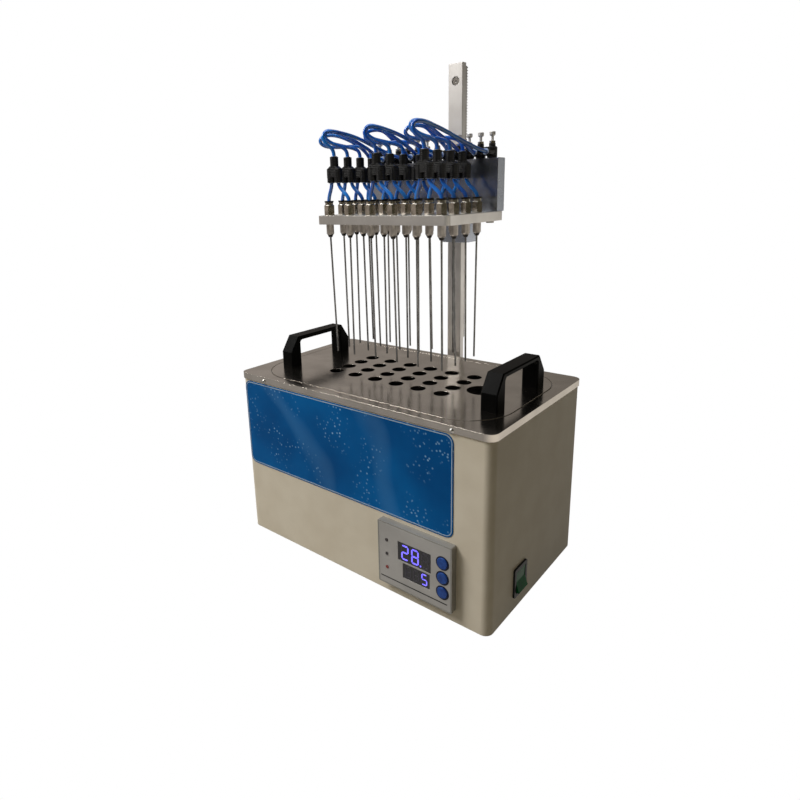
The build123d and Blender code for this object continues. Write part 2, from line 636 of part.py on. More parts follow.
# Carriage: a block that the column passes through, with a boss behind for the pinion
boss_y = pinion_y + pinion_r + MODULE + RUN_GAP + BOSS_WALL
back_face = carriage_y + CARRIAGE_D
slope = boss_y - back_face
carriage_top = CARRIAGE_LOW + CARRIAGE_H
side = Polyline((carriage_y, CARRIAGE_LOW), (back_face, CARRIAGE_LOW), (back_face, pinion_z - BOSS_HALF - slope * 0.5),
                (boss_y, pinion_z - BOSS_HALF + slope * 0.5), (boss_y, pinion_z + BOSS_HALF - slope * 0.5),
                (back_face, pinion_z + BOSS_HALF + slope * 0.5), (back_face, carriage_top),
                (carriage_y, carriage_top), close=True)
carriage = extrude(Plane.YZ * make_face(side), CARRIAGE_W / 2, both=True)
carriage -= block(-COLUMN_W / 2 - RUN_GAP, COLUMN_W / 2 + RUN_GAP, column_y - RUN_GAP, rack_y + RACK_T + RUN_GAP,
                  CARRIAGE_LOW - 1, carriage_top + 1)
tip_r = pinion_r + MODULE
carriage -= along_x(tip_r + RUN_GAP, -PINION_W / 2 - RUN_GAP, PINION_W / 2 + RUN_GAP, pinion_y, pinion_z)
SHAFT_RIGHT = 14.5
carriage -= along_x(SHAFT_R + SHAFT_GAP, -CARRIAGE_W / 2 - 1, SHAFT_RIGHT + RUN_GAP, pinion_y, pinion_z)
ARM_SCREW_X = 14.0
ARM_SCREW_R = 2.0
arm_spots = [(x, z) for x in (-ARM_SCREW_X, ARM_SCREW_X) for z in (ARM_LOW + 7, ARM_HIGH - 7)]
carriage = chamfer(carriage.edges().filter_by(Axis.Z).filter_by(lambda e: abs(e.center().X) > CARRIAGE_W / 2 - 0.1), 1.0)

# Pinion: involute teeth, one of which stands in the middle of a gap of the rack
base_circle = pinion_r * math.cos(PRESSURE)
root_r = pinion_r - 1.25 * MODULE


def involute(radius):
    """Angle of an involute flank from its start on the base circle."""
    roll = math.sqrt(max(radius ** 2 / base_circle ** 2 - 1, 0))
    return roll - math.atan(roll)


def pinion_outline(phase):
    """Points round the toothed wheel, in its own plane; phase is the angle of the first tooth."""
    half_angle = (math.pi * MODULE / 2 - BACKLASH) / (2 * pinion_r) + involute(pinion_r)
    steps = [base_circle + (tip_r - base_circle) * i / 3 for i in range(4)]
    points = []
    for n in range(PINION_TEETH):
        middle = phase + 2 * math.pi * n / PINION_TEETH
        flank = [(root_r, -half_angle)] + [(r, -half_angle + involute(r)) for r in steps]
        flank += [(r, -a) for r, a in reversed(flank)]
        points += [(r * math.cos(middle + a), r * math.sin(middle + a)) for r, a in flank]
    return points


gap_offset = (pinion_z - RACK_LOW) % tooth
phase = math.pi + gap_offset / pinion_r
gear = extrude(Plane.YZ * make_face(Polyline(*pinion_outline(phase), close=True)), PINION_W / 2, both=True)
gear -= along_x(SHAFT_R + 0.02, -PINION_W, PINION_W, 0, 0)
keep("pinion_gear", Pos(0, pinion_y, pinion_z) * gear)
knob_right = -CARRIAGE_W / 2 - KNOB_GAP
knob_left = knob_right - KNOB_T
shaft_left = knob_left + 4
keep("pinion_shaft", along_x(SHAFT_R, shaft_left, SHAFT_RIGHT, pinion_y, pinion_z))

# Lift knob: fluted rim, and a boss that reaches towards the carriage
knob = along_x(KNOB_R, knob_left, knob_right, 0, 0)
knob = fillet(knob.edges().filter_by(GeomType.CIRCLE), 2.0)
KNOB_BOSS_R = 9.0
knob += along_x(KNOB_BOSS_R, knob_right - 0.1, knob_right + KNOB_GAP - 1, 0, 0)
FLUTE_R = 2.6
for i in range(KNOB_FLUTES):
    angle = 2 * math.pi * i / KNOB_FLUTES
    y = (KNOB_R + FLUTE_R * 0.45) * math.cos(angle)
    z = (KNOB_R + FLUTE_R * 0.45) * math.sin(angle)
    knob -= along_x(FLUTE_R, knob_left - 1, knob_right + 1, y, z)
knob -= along_x(SHAFT_R + 0.02, shaft_left, knob_right + KNOB_GAP, 0, 0)
keep("lift_knob", Pos(0, pinion_y, pinion_z) * knob)

# Arm between the carriage and the manifold
arm = slab(ARM_W, carriage_y - plate_y1, 1.0, ARM_LOW, ARM_HIGH, 0, (carriage_y + plate_y1) / 2)
ARM_TAP = 12.0
CARRIAGE_SCREW_L = CARRIAGE_D + ARM_TAP - 1
for x, z in arm_spots:
    carriage -= along_y(ARM_SCREW_R + HOLE_GAP, carriage_y - 1, boss_y + 1, x, z)
    carriage -= along_y(CAP_HEAD_R + HOLE_GAP, back_face - 0.001, boss_y + 1, x, z)
    arm -= along_y(ARM_SCREW_R + HOLE_GAP, carriage_y - ARM_TAP, carriage_y + 1, x, z)
MANIFOLD_SCREW_X = 10.0
manifold_spots = [(x, ARM_LOW + 28) for x in (-MANIFOLD_SCREW_X, MANIFOLD_SCREW_X)]
for x, z in manifold_spots:
    arm -= along_y(ARM_SCREW_R + HOLE_GAP, plate_y1 - 1, plate_y1 + ARM_TAP, x, z)
keep("carriage_block", carriage)
keep("head_arm", arm)

# Needle plate: drilled for 24 needles, screwed up into the manifold from below
plate = slab(PLATE_W, plate_y1 - plate_y0, PLATE_R, PLATE_LOW, plate_top, 0, (plate_y0 + plate_y1) / 2)
plate -= [upright(STUB_R + HOLE_GAP, PLATE_LOW - 1, plate_top + 1, x, y) for _, _, x, y in grid_points()]
RISER_X = (-70.0, 0.0, 74.0)
RISER_TAP = 12.0
riser_spots = [(x, valve_y) for x in RISER_X]
for x, y in riser_spots:
    plate -= upright(CAP_SHANK_R + HOLE_GAP, PLATE_LOW - 1, plate_top + 1, x, y)
keep("needle_plate", plate)

# Manifold: an upright bar along the back of the needle plate, with a port under each valve
manifold_x0 = -PLATE_W / 2 + MANIFOLD_CUT
manifold_x1 = PLATE_W / 2
manifold = block(manifold_x0, manifold_x1, manifold_y0, plate_y1, plate_top, manifold_top)
manifold = chamfer(manifold.edges().filter_by(Axis.Y), 0.6)
VALVE_STUB_R = 2.4
VALVE_STUB_L = 6.0
valve_spots = [(i - (VALVES - 1) / 2) * VALVE_PITCH for i in range(VALVES)]
for x in valve_spots:
    manifold -= upright(VALVE_STUB_R + HOLE_GAP, manifold_top - VALVE_STUB_L - 0.5, manifold_top + 1, x, valve_y)
for x, y in riser_spots:
    manifold -= upright(CAP_SHANK_R + HOLE_GAP, plate_top - 1, plate_top + RISER_TAP, x, y)
gas_z = plate_top + MANIFOLD_H * 0.45
GAS_STUB_R = 6.0
GAS_STUB_L = 6.0
manifold -= along_y(GAS_STUB_R + HOLE_GAP, plate_y1 - GAS_STUB_L - 0.5, plate_y1 + 1, GAS_INLET_X, gas_z)
for x, z in manifold_spots:
    manifold -= along_y(ARM_SCREW_R + HOLE_GAP, manifold_y0 - 1, plate_y1 + 1, x, z)
    manifold -= along_y(CAP_HEAD_R + HOLE_GAP, manifold_y0 - 1, manifold_y0 + CAP_HEAD_H + 0.4, x, z)
keep("manifold", manifold)

# Screws of the head: three up through the needle plate, four in the carriage, two in the manifold's front
RISER_HEAD_H = 2.6
riser_screw = cap_screw(CAP_HEAD_R, RISER_HEAD_H, CAP_SHANK_R, PLATE_T + RISER_TAP - 1)
carriage_screw = cap_screw(CAP_HEAD_R, CAP_HEAD_H, ARM_SCREW_R, CARRIAGE_SCREW_L)
manifold_screw = cap_screw(CAP_HEAD_R, CAP_HEAD_H, ARM_SCREW_R, MANIFOLD_T - CAP_HEAD_H - 0.4 + ARM_TAP - 1)
screws = [Pos(x, y, PLATE_LOW) * Rot(180, 0, 0) * riser_screw for x, y in riser_spots]
screws += [Pos(x, back_face, z) * Rot(-90, 0, 0) * carriage_screw for x, z in arm_spots]
screws += [Pos(x, manifold_y0 + CAP_HEAD_H + 0.4, z) * Rot(90, 0, 0) * manifold_screw for x, z in manifold_spots]
keep("head_screws", *screws)

# Gas inlet: a push-in fitting for the supply hose, at the back of the manifold
gas_body = along_y(7.5, plate_y1, plate_y1 + GAS_INLET_L, GAS_INLET_X, gas_z)
gas_body = fillet(gas_body.edges().sort_by(Axis.Y)[-1], 1.0)
gas_body += along_y(GAS_STUB_R, plate_y1 - GAS_STUB_L, plate_y1 + 0.1, GAS_INLET_X, gas_z)
GAS_BORE_L = 16.0
gas_body -= along_y(GAS_HOSE_R, plate_y1 + GAS_INLET_L - GAS_BORE_L, plate_y1 + GAS_INLET_L + 1, GAS_INLET_X, gas_z)
gas_body -= along_y(GAS_HOSE_R * 0.6, plate_y1 - GAS_STUB_L - 1, plate_y1 + GAS_INLET_L, GAS_INLET_X, gas_z)
keep("gas_inlet", gas_body)

# Valves: moulded elbow bodies with a port to the front, a lock nut, and a knob on a stem
bodies = []
nuts = []
for i, x in enumerate(valve_spots):
    neck_top = manifold_top + VALVE_H + VALVE_NECK_H
    outline = [(0, manifold_top), (VALVE_R - 0.8, manifold_top), (VALVE_R, manifold_top + 0.8),
               (VALVE_R, manifold_top + VALVE_H - 1), (VALVE_R - 1, manifold_top + VALVE_H),
               (VALVE_NECK_R, manifold_top + VALVE_H), (VALVE_NECK_R, neck_top), (0, neck_top)]
    body = turned(outline, x, valve_y)
    body += along_y(VALVE_PORT_R, valve_y - VALVE_PORT_L, valve_y, x, port_z)
    body += upright(VALVE_STUB_R, manifold_top - VALVE_STUB_L, manifold_top + 0.1, x, valve_y)
    body -= upright(STEM_R + SHAFT_GAP, manifold_top + VALVE_H - 4, neck_top + 1, x, valve_y)
    bodies.append(body)
    nut = Pos(x, valve_y, neck_top) * extrude(RegularPolygon(VALVE_NUT_R, 8), VALVE_NUT_H)
    nuts.append(nut - upright(STEM_R + SHAFT_GAP, neck_top - 1, neck_top + VALVE_NUT_H + 1, x, valve_y))
    stem_top = neck_top + VALVE_NUT_H + STEM_H
    knob_outline = [(0, manifold_top + VALVE_H - 3.5), (STEM_R, manifold_top + VALVE_H - 3.5), (STEM_R, stem_top),
                    (VALVE_KNOB_R * 0.75, stem_top), (VALVE_KNOB_R, stem_top + 1.0),
                    (VALVE_KNOB_R, stem_top + VALVE_KNOB_H - 0.4), (VALVE_KNOB_R - 0.4, stem_top + VALVE_KNOB_H),
                    (0, stem_top + VALVE_KNOB_H)]
    valve_knob = turned(knob_outline, x, valve_y)
    slot_cut = block(x - 3.5, x + 3.5, valve_y - 0.35, valve_y + 0.35, stem_top + VALVE_KNOB_H - 0.7, stem_top + VALVE_KNOB_H + 1)
    keep(f"valve_knob_{i + 1:02d}", valve_knob - slot_cut)
keep("valve_bodies", *bodies)
keep("valve_nuts", *nuts)

# Needles: hexagonal push-in fitting and collar above the plate, tapered hub and needle below it
fitting_stub = PLATE_T * 0.45


def fitting(x, y):
    hexagon = Pos(x, y, plate_top) * extrude(RegularPolygon(HEX / 2, 6, major_radius=False), HEX_H)
    crown = turned([(0, plate_top), (HEX / 2, plate_top), (HEX / 2 + 0.8, plate_top + 1.0),
                    (HEX / 2 + 0.8, plate_top + HEX_H - 1.0), (HEX / 2 - 0.2, plate_top + HEX_H),
                    (0, plate_top + HEX_H)], x, y)
    nose = upright(NECK_R, plate_top + HEX_H - 0.1, collar_z, x, y)
    return (hexagon & crown) + nose + upright(STUB_R, plate_top - fitting_stub, plate_top + 0.1, x, y)


def hub(x, y):
    outline = [(0, hub_low), (TIP_R, hub_low), (HUB_R - 0.9, hub_low + TIP_H), (HUB_R, hub_low + TIP_H + 1.2),
               (HUB_R, PLATE_LOW), (STUB_R, PLATE_LOW), (STUB_R, PLATE_LOW + PLATE_T * 0.45), (0, PLATE_LOW + PLATE_T * 0.45)]
    return turned(outline, x, y) - upright(NEEDLE_R + NEEDLE_GAP, hub_low - 1, hub_low + NEEDLE_SOCKET, x, y)


# How far each needle's tip stands off its own axis, left to right and front to back, row by row from the front
LEANS = [[(3.6, 0.4), (0.4, -0.6), (1.2, 0.8), (1.6, 0.6), (0.9, -0.9), (0.2, 0.5)],
         [(1.0, 0.7), (2.2, -0.4), (-0.6, 1.1), (0.8, -0.8), (1.4, 0.6), (1.9, 1.2)],
         [(0.5, -1.0), (1.8, 0.6), (1.1, 0.9), (-0.9, 0.4), (2.0, -0.6), (1.0, 0.8)],
         [(1.5, 0.9), (-0.8, 0.5), (1.0, -0.7), (1.9, 0.8), (1.2, 0.4), (-0.7, -0.6)]]


def needle(x, y, lean):
    start = Vector(x, y, hub_low + NEEDLE_SOCKET - 0.3)
    end = Vector(x + lean[0], y + lean[1], NEEDLE_END)
    line = Plane(start, z_dir=end - start)
    return extrude(line * Circle(NEEDLE_R), (end - start).length)


keep("needle_fittings", *[fitting(x, y) for _, _, x, y in grid_points()])
keep("fitting_collars", *[upright(COLLAR_R, collar_z, collar_top, x, y) for _, _, x, y in grid_points()])
keep("needle_hubs", *[hub(x, y) for _, _, x, y in grid_points()])
keep("needles", *[needle(x, y, LEANS[row][column]) for column, row, x, y in grid_points()])

# Branch connectors: each has two ports below for a pair of needles and one port above
# They hang on soft tubes, so each stands a little to one side: its offset along X, by row from the front.
CONNECTOR_SHIFTS = [[-4.5, -5.2, -5.0], [-5.0, -5.0, -5.0], [-6.0, -4.0, -4.5], [-7.8, 1.2, -3.4]]
y_spots = []
for row in range(ROWS):
    for pair in range(COLUMNS // 2):
        x = GRID_X + (2 * pair + 0.5 - (COLUMNS - 1) / 2) * PITCH_X + CONNECTOR_SHIFTS[row][pair]
        y = GRID_Y + (row - (ROWS - 1) / 2) * PITCH_Y
        y_spots.append((pair, row, x, y))
waist_low = Y_LOW + Y_BRANCH_H
port_low = waist_low + Y_WAIST_H


def connector(x, y):
    wide = Y_HALF + Y_PORT_R - 1
    narrow = Y_PORT_R - 0.5
    outline = Polyline((-wide, Y_LOW + 5), (wide, Y_LOW + 5), (wide, waist_low + 1), (narrow, port_low),
                       (-narrow, port_low), (-wide, waist_low + 1), close=True)
    web = extrude(Plane.XZ * make_face(outline), Y_WEB, both=True)
    web = chamfer(web.edges().filter_by(lambda e: abs(e.center().Y) > Y_WEB - 0.1), 0.8)
    body = Pos(x, y, 0) * web
    for side in (-1, 1):
        body += upright(Y_PORT_R, Y_LOW, waist_low, x + side * Y_HALF, y)
    return body + upright(Y_PORT_R, port_low - 1, y_top, x, y)


keep("y_connectors", *[connector(x, y) for _, _, x, y in y_spots])
rings = []
for _, _, x, y in y_spots:
    rings.append(upright(RING_R, y_top, y_top + RING_H, x, y))
    for side in (-1, 1):
        rings.append(upright(RING_R, Y_LOW - RING_H, Y_LOW, x + side * Y_HALF, y))
for x in valve_spots:
    port_front = valve_y - VALVE_PORT_L
    rings.append(along_y(RING_R, port_front - RING_H, port_front, x, port_z))
keep("release_rings", *rings)


def tube(points, name):
    """A gas tube along straight runs joined by arcs as large as the runs allow."""
    radii = []
    for a, b, c in zip(points, points[1:], points[2:]):
        first = Vector(*b) - Vector(*a)
        second = Vector(*c) - Vector(*b)
        half_turn = math.radians(first.get_angle(second)) / 2
        radii.append(0.45 * min(first.length, second.length) / math.tan(half_turn))
    path = FilletPolyline(*points, radius=radii)
    solid = sweep(Plane(path @ 0, z_dir=path % 0) * Circle(TUBE_R), path)
    expected = math.pi * TUBE_R ** 2 * path.length
    print(name, "length", round(path.length, 1), "radii", [round(r, 1) for r in radii],
          "volume share", round(solid.volume / expected, 4))
    return solid


# Branch tubes: from each collar up to its connector's port
BRANCH_RISE = 3.5
branch_low = collar_top
branch_high = Y_LOW - RING_H
branches = []
for pair, row, x, y in y_spots:
    for side in (-1, 1):
        column = 2 * pair + (1 + side) // 2
        foot_x = GRID_X + (column - (COLUMNS - 1) / 2) * PITCH_X
        head_x = x + side * Y_HALF
        points = [(foot_x, y, branch_low), (foot_x, y, branch_low + BRANCH_RISE),
                  (head_x, y, branch_high - BRANCH_RISE), (head_x, y, branch_high)]
        branches.append(tube(points, f"branch {pair} {row} {side}"))
keep("branch_tubes", *branches)

# Long gas tubes: each leaves a connector's top port, loops over to the front left and comes back to a valve.
# By row from the front: the points of the rise, as offsets from the top port, and those of the way back, as
# offsets from the valve's port. The front row's tube goes to the last valve of its group of four.
RISES = [[(0, 0, 7), (-7, -5, 12), (-10, -7, 21), (-4, 2, 27)],
         [(0, 0, 7), (-12, -10, 13), (-19, -16, 22), (-13, -10, 29)],
         [(0, 0, 7), (-15, -10, 11), (-27, -22, 18), (-30, -26, 26), (-20, -20, 31)],
         [(0, 0, 5.5), (-13, -7, 7.5), (-29, -19, 9), (-43, -31, 14), (-45, -33, 22), (-33, -26, 26)]]
RETURNS = [[(-23, -54, 23), (-9, -29, 9)],
           [(-12, -46, 24), (-1.5, -21, 11)],
           [(-9, -36, 24), (-1, -18, 14)],
           [(-9, -24, 20), (-1, -12, 9)]]
port_front = valve_y - VALVE_PORT_L - RING_H
PORT_STRAIGHT = 6.0
gas_tubes = []
for pair, row, x, y in y_spots:
    start = (x, y, y_top + RING_H)
    valve_x = valve_spots[ROWS * (pair + 1) - 1 - row]
    rise = [(x + dx, y + dy, start[2] + dz) for dx, dy, dz in RISES[row]]
    back = [(valve_x + dx, port_front + dy, port_z + dz) for dx, dy, dz in RETURNS[row]]
    exit_run = [(valve_x, port_front - PORT_STRAIGHT, port_z), (valve_x, port_front, port_z)]
    gas_tubes.append(tube([start, *rise, *back, *exit_run], f"gas {pair} {row}"))
keep("gas_tubes", *gas_tubes)

# The whole object's box gives the origin: every piece moves by the same step
boxes = [solid.bounding_box() for solids in nodes.values() for solid in solids]
left = min(box.min.X for box in boxes)
right = max(box.max.X for box in boxes)
front = min(box.min.Y for box in boxes)
rear = max(box.max.Y for box in boxes)
shift = Vector(-(left + right) / 2, -(front + rear) / 2, 0)
print("box", left, right, front, rear, "shift", shift)
os.makedirs("parts", exist_ok=True)
for name, solids in nodes.items():
    moved = [Pos(shift) * solid for solid in solids]
    export_step(moved[0] if len(moved) == 1 else Compound(children=moved), f"parts/{name}.step")
print(len(nodes), "nodes")
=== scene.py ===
import math
import bmesh
import bpy
from mathutils import Matrix, Vector


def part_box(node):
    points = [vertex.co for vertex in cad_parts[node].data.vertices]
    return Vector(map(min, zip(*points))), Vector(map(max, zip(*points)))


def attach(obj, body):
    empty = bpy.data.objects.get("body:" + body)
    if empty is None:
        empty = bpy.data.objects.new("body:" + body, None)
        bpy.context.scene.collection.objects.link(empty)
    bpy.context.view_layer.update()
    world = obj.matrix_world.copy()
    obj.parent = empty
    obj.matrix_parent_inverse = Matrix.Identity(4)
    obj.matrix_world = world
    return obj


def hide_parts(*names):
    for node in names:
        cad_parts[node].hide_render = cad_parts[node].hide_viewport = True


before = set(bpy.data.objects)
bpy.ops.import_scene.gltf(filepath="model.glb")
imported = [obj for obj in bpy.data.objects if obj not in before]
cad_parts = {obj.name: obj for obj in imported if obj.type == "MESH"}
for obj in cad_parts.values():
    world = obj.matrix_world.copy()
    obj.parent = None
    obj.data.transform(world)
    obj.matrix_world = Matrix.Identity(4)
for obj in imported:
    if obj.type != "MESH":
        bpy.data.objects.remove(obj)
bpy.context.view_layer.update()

# The CAD source is in millimetres, with the bath's middle as its origin. The frame's origin is the middle of
# the whole object, and the top plate's middle gives the step from one to the other.
MM = 0.001
STEP_DIGITS = 4
BOX_DIGITS = 3
plate_low, plate_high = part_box("top_plate")
SHIFT_X = round((plate_low.x + plate_high.x) / 2 / MM, STEP_DIGITS)
SHIFT_Y = round((plate_low.y + plate_high.y) / 2 / MM, STEP_DIGITS)


def at(x, y, z):
    """A point of the CAD source, in metres in the frame."""
    return Vector(((x + SHIFT_X) * MM, (y + SHIFT_Y) * MM, z * MM))


def source_box(node):
    """A node's lowest and highest corners, in the CAD source's millimetres."""
    step = (SHIFT_X, SHIFT_Y, 0.0)
    corners = []
    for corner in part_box(node):
        corners.append([round(value / MM - shift, BOX_DIGITS) for value, shift in zip(corner, step)])
    return corners


def srgb(red, green, blue):
    """The linear colour of a screen colour given as 0 to 255."""
    parts = [c / 255 for c in (red, green, blue)]
    linear = [((c + 0.055) / 1.055) ** 2.4 if c > 0.04045 else c / 12.92 for c in parts]
    return (*linear, 1.0)


# Material parts: each takes a node tree and gives a socket to build on
GRAIN_SCALE = 900.0
GRAIN_DEPTH = 0.0001
EDGE_ROUND = 0.0004
BLACK = (0.0, 0.0, 0.0, 1.0)
WHITE = (1.0, 1.0, 1.0, 1.0)


def start(name, metallic, rough):
    """A new material with its tree, its shader and the piece's own coordinates."""
    material = bpy.data.materials.new(name)
    material.use_nodes = True
    tree = material.node_tree
    shader = tree.nodes["Principled BSDF"]
    shader.inputs["Metallic"].default_value = metallic
    shader.inputs["Roughness"].default_value = rough
    coords = tree.nodes.new("ShaderNodeTexCoord")
    return material, tree, shader, coords.outputs["Object"]


def noise(tree, coords, scale, detail=3.0, stretch=(1, 1, 1)):
    """Soft noise, drawn out along the axes whose stretch is small."""
    mapping = tree.nodes.new("ShaderNodeMapping")
    mapping.inputs["Scale"].default_value = stretch
    node = tree.nodes.new("ShaderNodeTexNoise")
    node.inputs["Scale"].default_value = scale
    node.inputs["Detail"].default_value = detail
    tree.links.new(coords, mapping.inputs["Vector"])
    tree.links.new(mapping.outputs["Vector"], node.inputs["Vector"])
    return node.outputs[0]


def wave(tree, coords, direction, scale, distortion=0.0):
    """Bands across one direction."""
    node = tree.nodes.new("ShaderNodeTexWave")
    node.bands_direction = direction
    node.inputs["Scale"].default_value = scale
    node.inputs["Distortion"].default_value = distortion
    tree.links.new(coords, node.inputs["Vector"])
    return node.outputs["Fac"]


def ramp(tree, value, *stops):
    """A colour ramp through (position, colour) stops."""
    node = tree.nodes.new("ShaderNodeValToRGB")
    elements = node.color_ramp.elements
    while len(elements) < len(stops):
        elements.new(0.5)
    for element, (position, colour) in zip(elements, stops):
        element.position = position
        element.color = colour
    tree.links.new(value, node.inputs["Fac"])
    return node.outputs["Color"]


def patches(tree, coords, scale, dark, light, low=0.3, high=0.7, detail=3.0):
    """Soft patches, dark where the noise is below low and light where it is above high."""
    return ramp(tree, noise(tree, coords, scale, detail), (low, dark), (high, light))


def spread(tree, value, low, high):
    """A value from 0 to 1 turned into one from low to high."""
    node = tree.nodes.new("ShaderNodeMapRange")
    node.inputs["To Min"].default_value = low
    node.inputs["To Max"].default_value = high
    tree.links.new(value, node.inputs["Value"])
    return node.outputs["Result"]


def mixed(tree, amount, first, second):
    """The first colour where the amount is 0 and the second where it is 1; each is a colour or a socket."""
    node = tree.nodes.new("ShaderNodeMixRGB")
    tree.links.new(amount, node.inputs["Fac"])
    for value, socket in ((first, node.inputs["Color1"]), (second, node.inputs["Color2"])):
        if isinstance(value, tuple):
            socket.default_value = value
        else:
            tree.links.new(value, socket)
    return node.outputs["Color"]


def along(tree, coords, axis):
    """The coordinate along one axis."""
    parts = tree.nodes.new("ShaderNodeSeparateXYZ")
    tree.links.new(coords, parts.inputs["Vector"])
    return parts.outputs[axis]


def step_up(tree, coords, axis, low, high):
    """0 below the level low and 1 above the level high, along one axis."""
    node = tree.nodes.new("ShaderNodeMapRange")
    node.inputs["From Min"].default_value = low
    node.inputs["From Max"].default_value = high
    tree.links.new(along(tree, coords, axis), node.inputs["Value"])
    return node.outputs["Result"]


def relief(tree, shader, value, strength, depth=GRAIN_DEPTH):
    """Bump from a value, over edges that catch the light as if slightly rounded."""
    bevel = tree.nodes.new("ShaderNodeBevel")
    bevel.samples = 4
    bevel.inputs["Radius"].default_value = EDGE_ROUND
    bump = tree.nodes.new("ShaderNodeBump")
    bump.inputs["Strength"].default_value = strength
    bump.inputs["Distance"].default_value = depth
    tree.links.new(value, bump.inputs["Height"])
    tree.links.new(bevel.outputs["Normal"], bump.inputs["Normal"])
    tree.links.new(bump.outputs["Normal"], shader.inputs["Normal"])


def glow_of(tree, colour):
    """A light of strength 1, of a colour or a socket."""
    node = tree.nodes.new("ShaderNodeEmission")
    if isinstance(colour, tuple):
        node.inputs["Color"].default_value = colour
    else:
        tree.links.new(colour, node.inputs["Color"])
    return node.outputs["Emission"]


def by_ray(tree, kind, others, chosen):
    """The chosen shader for one kind of ray, and the others' shader for every other ray."""
    paths = tree.nodes.new("ShaderNodeLightPath")
    node = tree.nodes.new("ShaderNodeMixShader")
    tree.links.new(paths.outputs[kind], node.inputs[0])
    tree.links.new(others, node.inputs[1])
    tree.links.new(chosen, node.inputs[2])
    return node.outputs["Shader"]


def surface(name, dark, light, metallic=0.0, rough=0.4, patch=30.0, strength=0.15, wear=0.05,
            stretch=(1, 1, 1), coat=0.0, gloss=0.5):
    """A finish with soft patches between two screen colours, uneven gloss and a fine grain."""
    material, tree, shader, coords = start(name, metallic, rough)
    tone = patches(tree, coords, patch, srgb(*dark), srgb(*light), low=0.35, high=0.65)
    tree.links.new(tone, shader.inputs["Base Color"])
    uneven = noise(tree, coords, patch * 3, detail=5.0, stretch=stretch)
    tree.links.new(spread(tree, uneven, rough - wear, rough + wear), shader.inputs["Roughness"])
    relief(tree, shader, noise(tree, coords, GRAIN_SCALE, detail=4.0, stretch=stretch), strength)
    shader.inputs["Coat Weight"].default_value = coat
    shader.inputs["Specular IOR Level"].default_value = gloss
    return material


# Metals, with brush marks along the long way of a piece where the real ones have them
BRUSHED_X = (0.03, 1, 1)
BRUSHED_Z = (1, 1, 0.03)
polished = surface("polished_steel", (196, 188, 178), (214, 206, 196), metallic=1.0, rough=0.17,
                   strength=0.05, stretch=BRUSHED_X)
tank_steel = surface("tank_steel", (150, 148, 144), (172, 169, 164), metallic=1.0, rough=0.3)
screw_steel = surface("screw_steel", (176, 174, 170), (200, 197, 192), metallic=1.0, rough=0.24, patch=200.0)
nickel = surface("nickel", (182, 177, 168), (222, 217, 208), metallic=1.0, rough=0.13, patch=160.0,
                 strength=0.1, wear=0.04)
needle_steel = surface("needle_steel", (105, 104, 104), (140, 139, 138), metallic=1.0, rough=0.26,
                       patch=120.0)
rack_steel = surface("rack_steel", (178, 175, 172), (205, 202, 198), metallic=1.0, rough=0.3, patch=120.0)
plate_metal = surface("plate_aluminium", (206, 203, 199), (220, 217, 213), metallic=1.0, rough=0.36,
                      stretch=BRUSHED_X)
manifold_metal = surface("manifold_aluminium", (172, 179, 193), (188, 194, 206), metallic=1.0, rough=0.26,
                         stretch=BRUSHED_X)
column_metal = surface("column_aluminium", (206, 203, 201), (220, 218, 216), metallic=1.0, rough=0.42,
                       stretch=BRUSHED_Z)

# Paint, rubber and plastics
case_paint = surface("case_paint", (226, 216, 197), (233, 224, 206), rough=0.42, strength=0.10, gloss=0.2)
rubber = surface("rubber", (26, 26, 26), (36, 36, 36), rough=0.75, strength=0.3)
black_plastic = surface("black_plastic", (16, 16, 17), (22, 22, 23), rough=0.42, strength=0.3, gloss=0.25)
housing_grey = surface("housing_grey", (150, 148, 143), (160, 158, 153), metallic=0.2, rough=0.45,
                       strength=0.3)
face_silver = surface("face_silver", (180, 178, 175), (192, 190, 187), metallic=0.45, stretch=BRUSHED_X)
handle_black = surface("handle_black", (7, 7, 7), (11, 11, 11), rough=0.32, strength=0.2, gloss=0.03)
dark_glass = surface("dark_glass", (12, 10, 20), (18, 15, 28), rough=0.08, strength=0.02, coat=0.5)
button_blue = surface("button_blue", (24, 62, 138), (36, 84, 168), rough=0.3, patch=260.0, gloss=0.3)
rim_navy = surface("rim_navy", (12, 20, 48), (18, 28, 60), rough=0.35, patch=260.0, gloss=0.3)
line_black = surface("line_black", (16, 16, 18), (24, 24, 26), rough=0.45)
ring_pale = surface("ring_pale", (150, 172, 205), (196, 212, 234), rough=0.3, patch=300.0)
knob_silver = surface("knob_silver", (222, 220, 216), (240, 238, 234), metallic=0.3, rough=0.25, patch=300.0)
switch_green = surface("switch_green", (8, 96, 50), (16, 122, 66), rough=0.2, patch=90.0, gloss=0.08)
border_pale = surface("border_pale", (150, 178, 205), (176, 198, 220))
digit_off = surface("digit_off", (58, 55, 66), (70, 67, 78))
tube_blue = surface("tube_blue", (0, 98, 216), (18, 140, 244), rough=0.14, patch=60.0, strength=0.04,
                    coat=1.0)


def make_digit_lit():
    """Lit segments of the display, which glow violet."""
    material, tree, shader, coords = start("digit_lit", 0.0, 0.4)
    glow = patches(tree, coords, 500.0, srgb(96, 84, 240), srgb(128, 118, 255))
    tree.links.new(glow, shader.inputs["Base Color"])
    tree.links.new(glow, shader.inputs["Emission Color"])
    shader.inputs["Emission Strength"].default_value = 1.4
    return material


